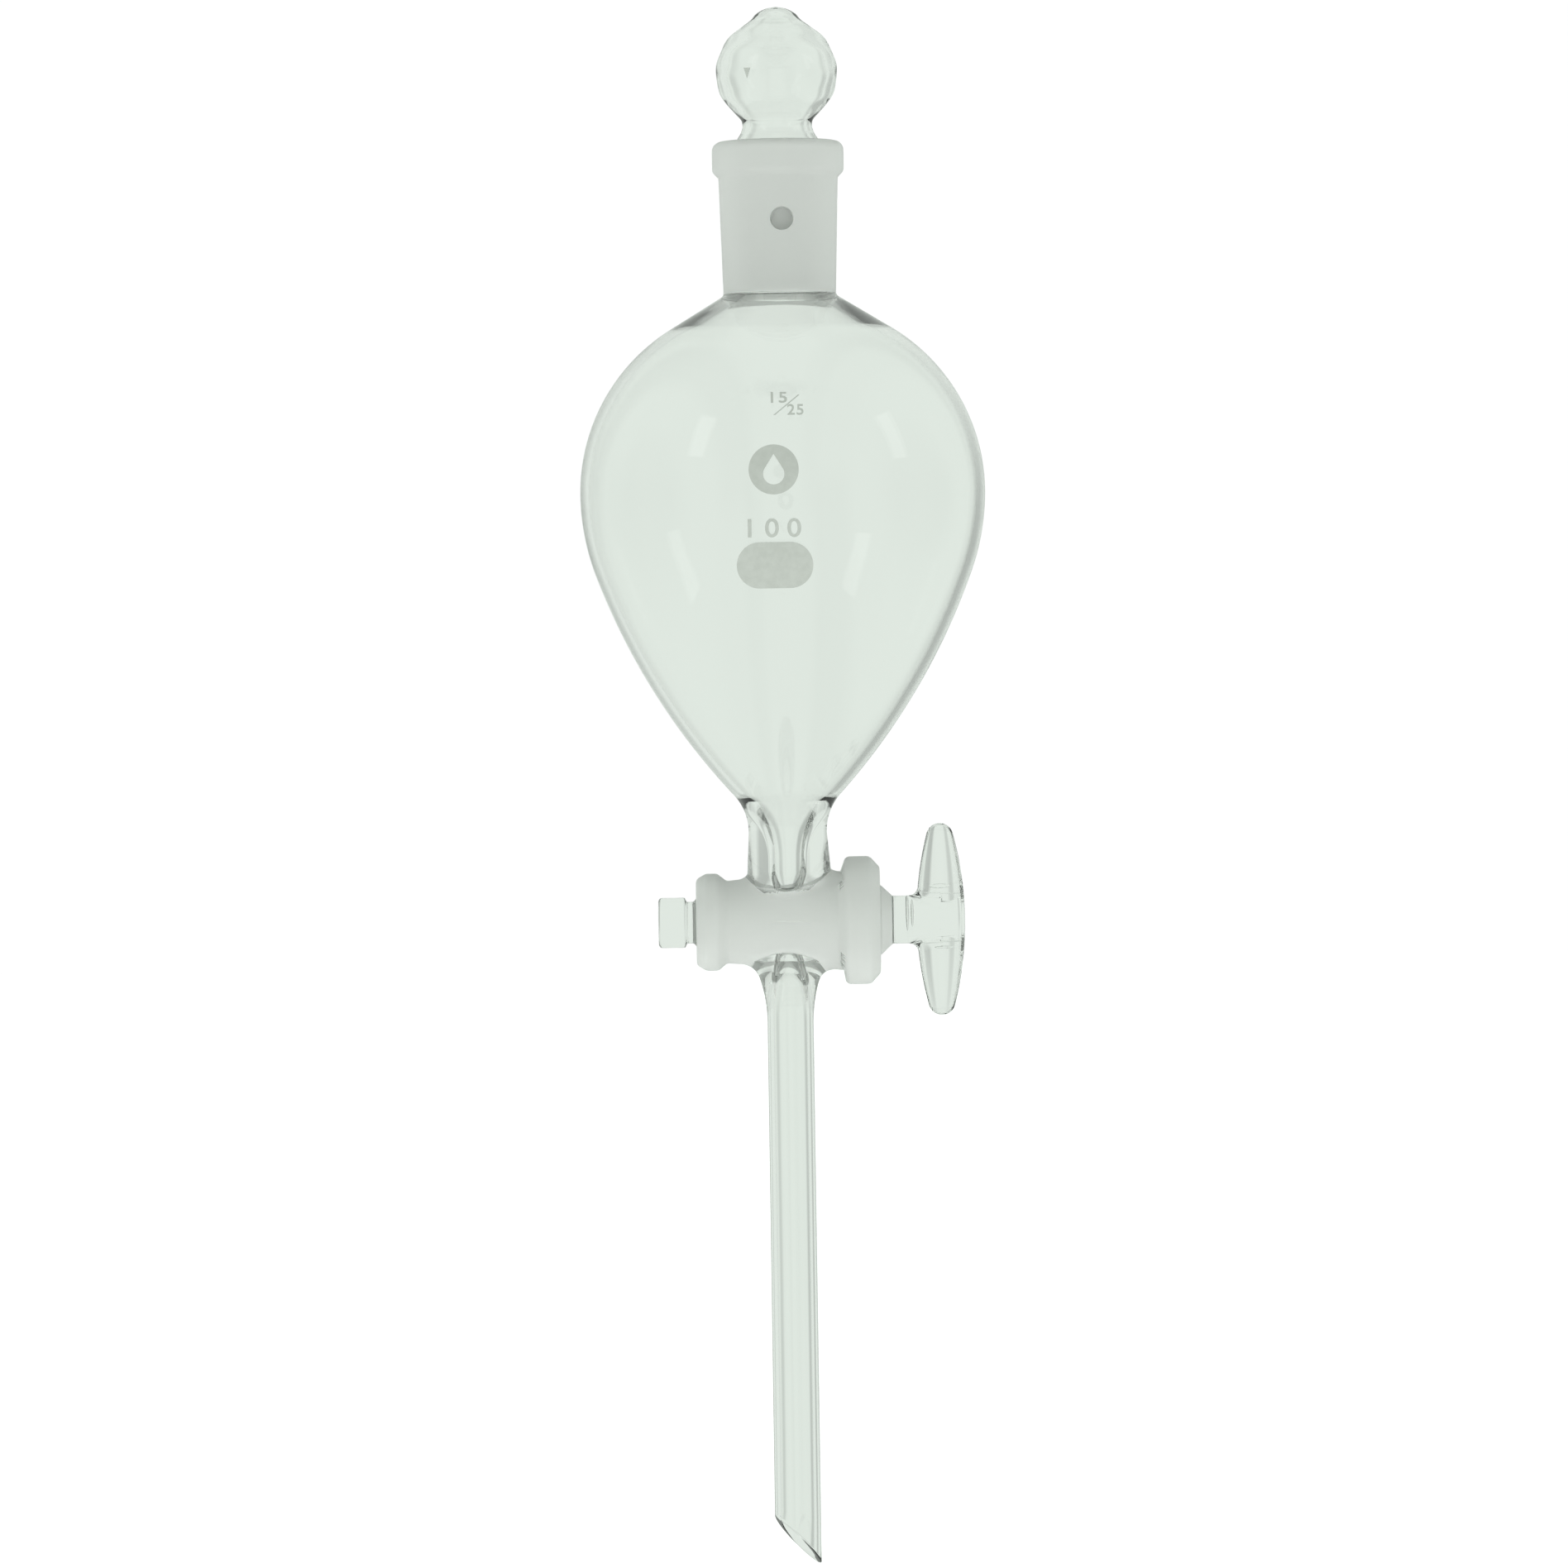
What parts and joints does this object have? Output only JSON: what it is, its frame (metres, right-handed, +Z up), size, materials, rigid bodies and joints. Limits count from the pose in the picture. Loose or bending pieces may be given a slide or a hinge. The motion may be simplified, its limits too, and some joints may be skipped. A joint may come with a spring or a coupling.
{
  "type": "separatory funnel",
  "caption": "Pear-shaped glass separatory funnel with a ground socket and hollow stopper, a ground stopcock with a T-handle, and a long bevelled drip stem.",
  "frame": {"origin": "on the bulb's axis, at the level where a support ring of 50 mm inside diameter touches the bulb's lower taper", "axes": "+Z up the funnel towards the stopper, +X along the stopcock towards the T-handle, -Y towards the side that carries the marks"},
  "size_m": [0.0658, 0.0659, 0.2532],
  "materials": {
    "clear_glass": "fire-polished borosilicate glass, clear with a faint grey-green cast",
    "ground_glass": "finely ground, matt translucent glass",
    "enamel": "thin light grey ceramic enamel, fired on, matt"
  },
  "bodies": {
    "funnel": {"joint_socket": "clear_glass", "bulb": "clear_glass", "outlet_tube": "clear_glass", "stopcock_barrel": "clear_glass", "drip_stem": "clear_glass", "writing_patch": "enamel", "emblem": "enamel", "capacity_mark": "enamel", "joint_mark": "enamel"},
    "stopper": {"stopper_cone": "ground_glass", "stopper_head": "clear_glass", "vent_mark": "enamel"},
    "plug": {"plug_cone": "ground_glass", "plug_handle": "clear_glass"}
  },
  "joints": [
    {"name": "stopper_lift", "type": "slide", "parent": "funnel", "child": "stopper", "axis": [0, 0, 1], "range_m": [0, 0.06]},
    {"name": "plug_turn", "type": "hinge", "parent": "funnel", "child": "plug", "pos_m": [0, 0, -0.04393], "axis": [1, 0, 0], "continuous": true}
  ]
}
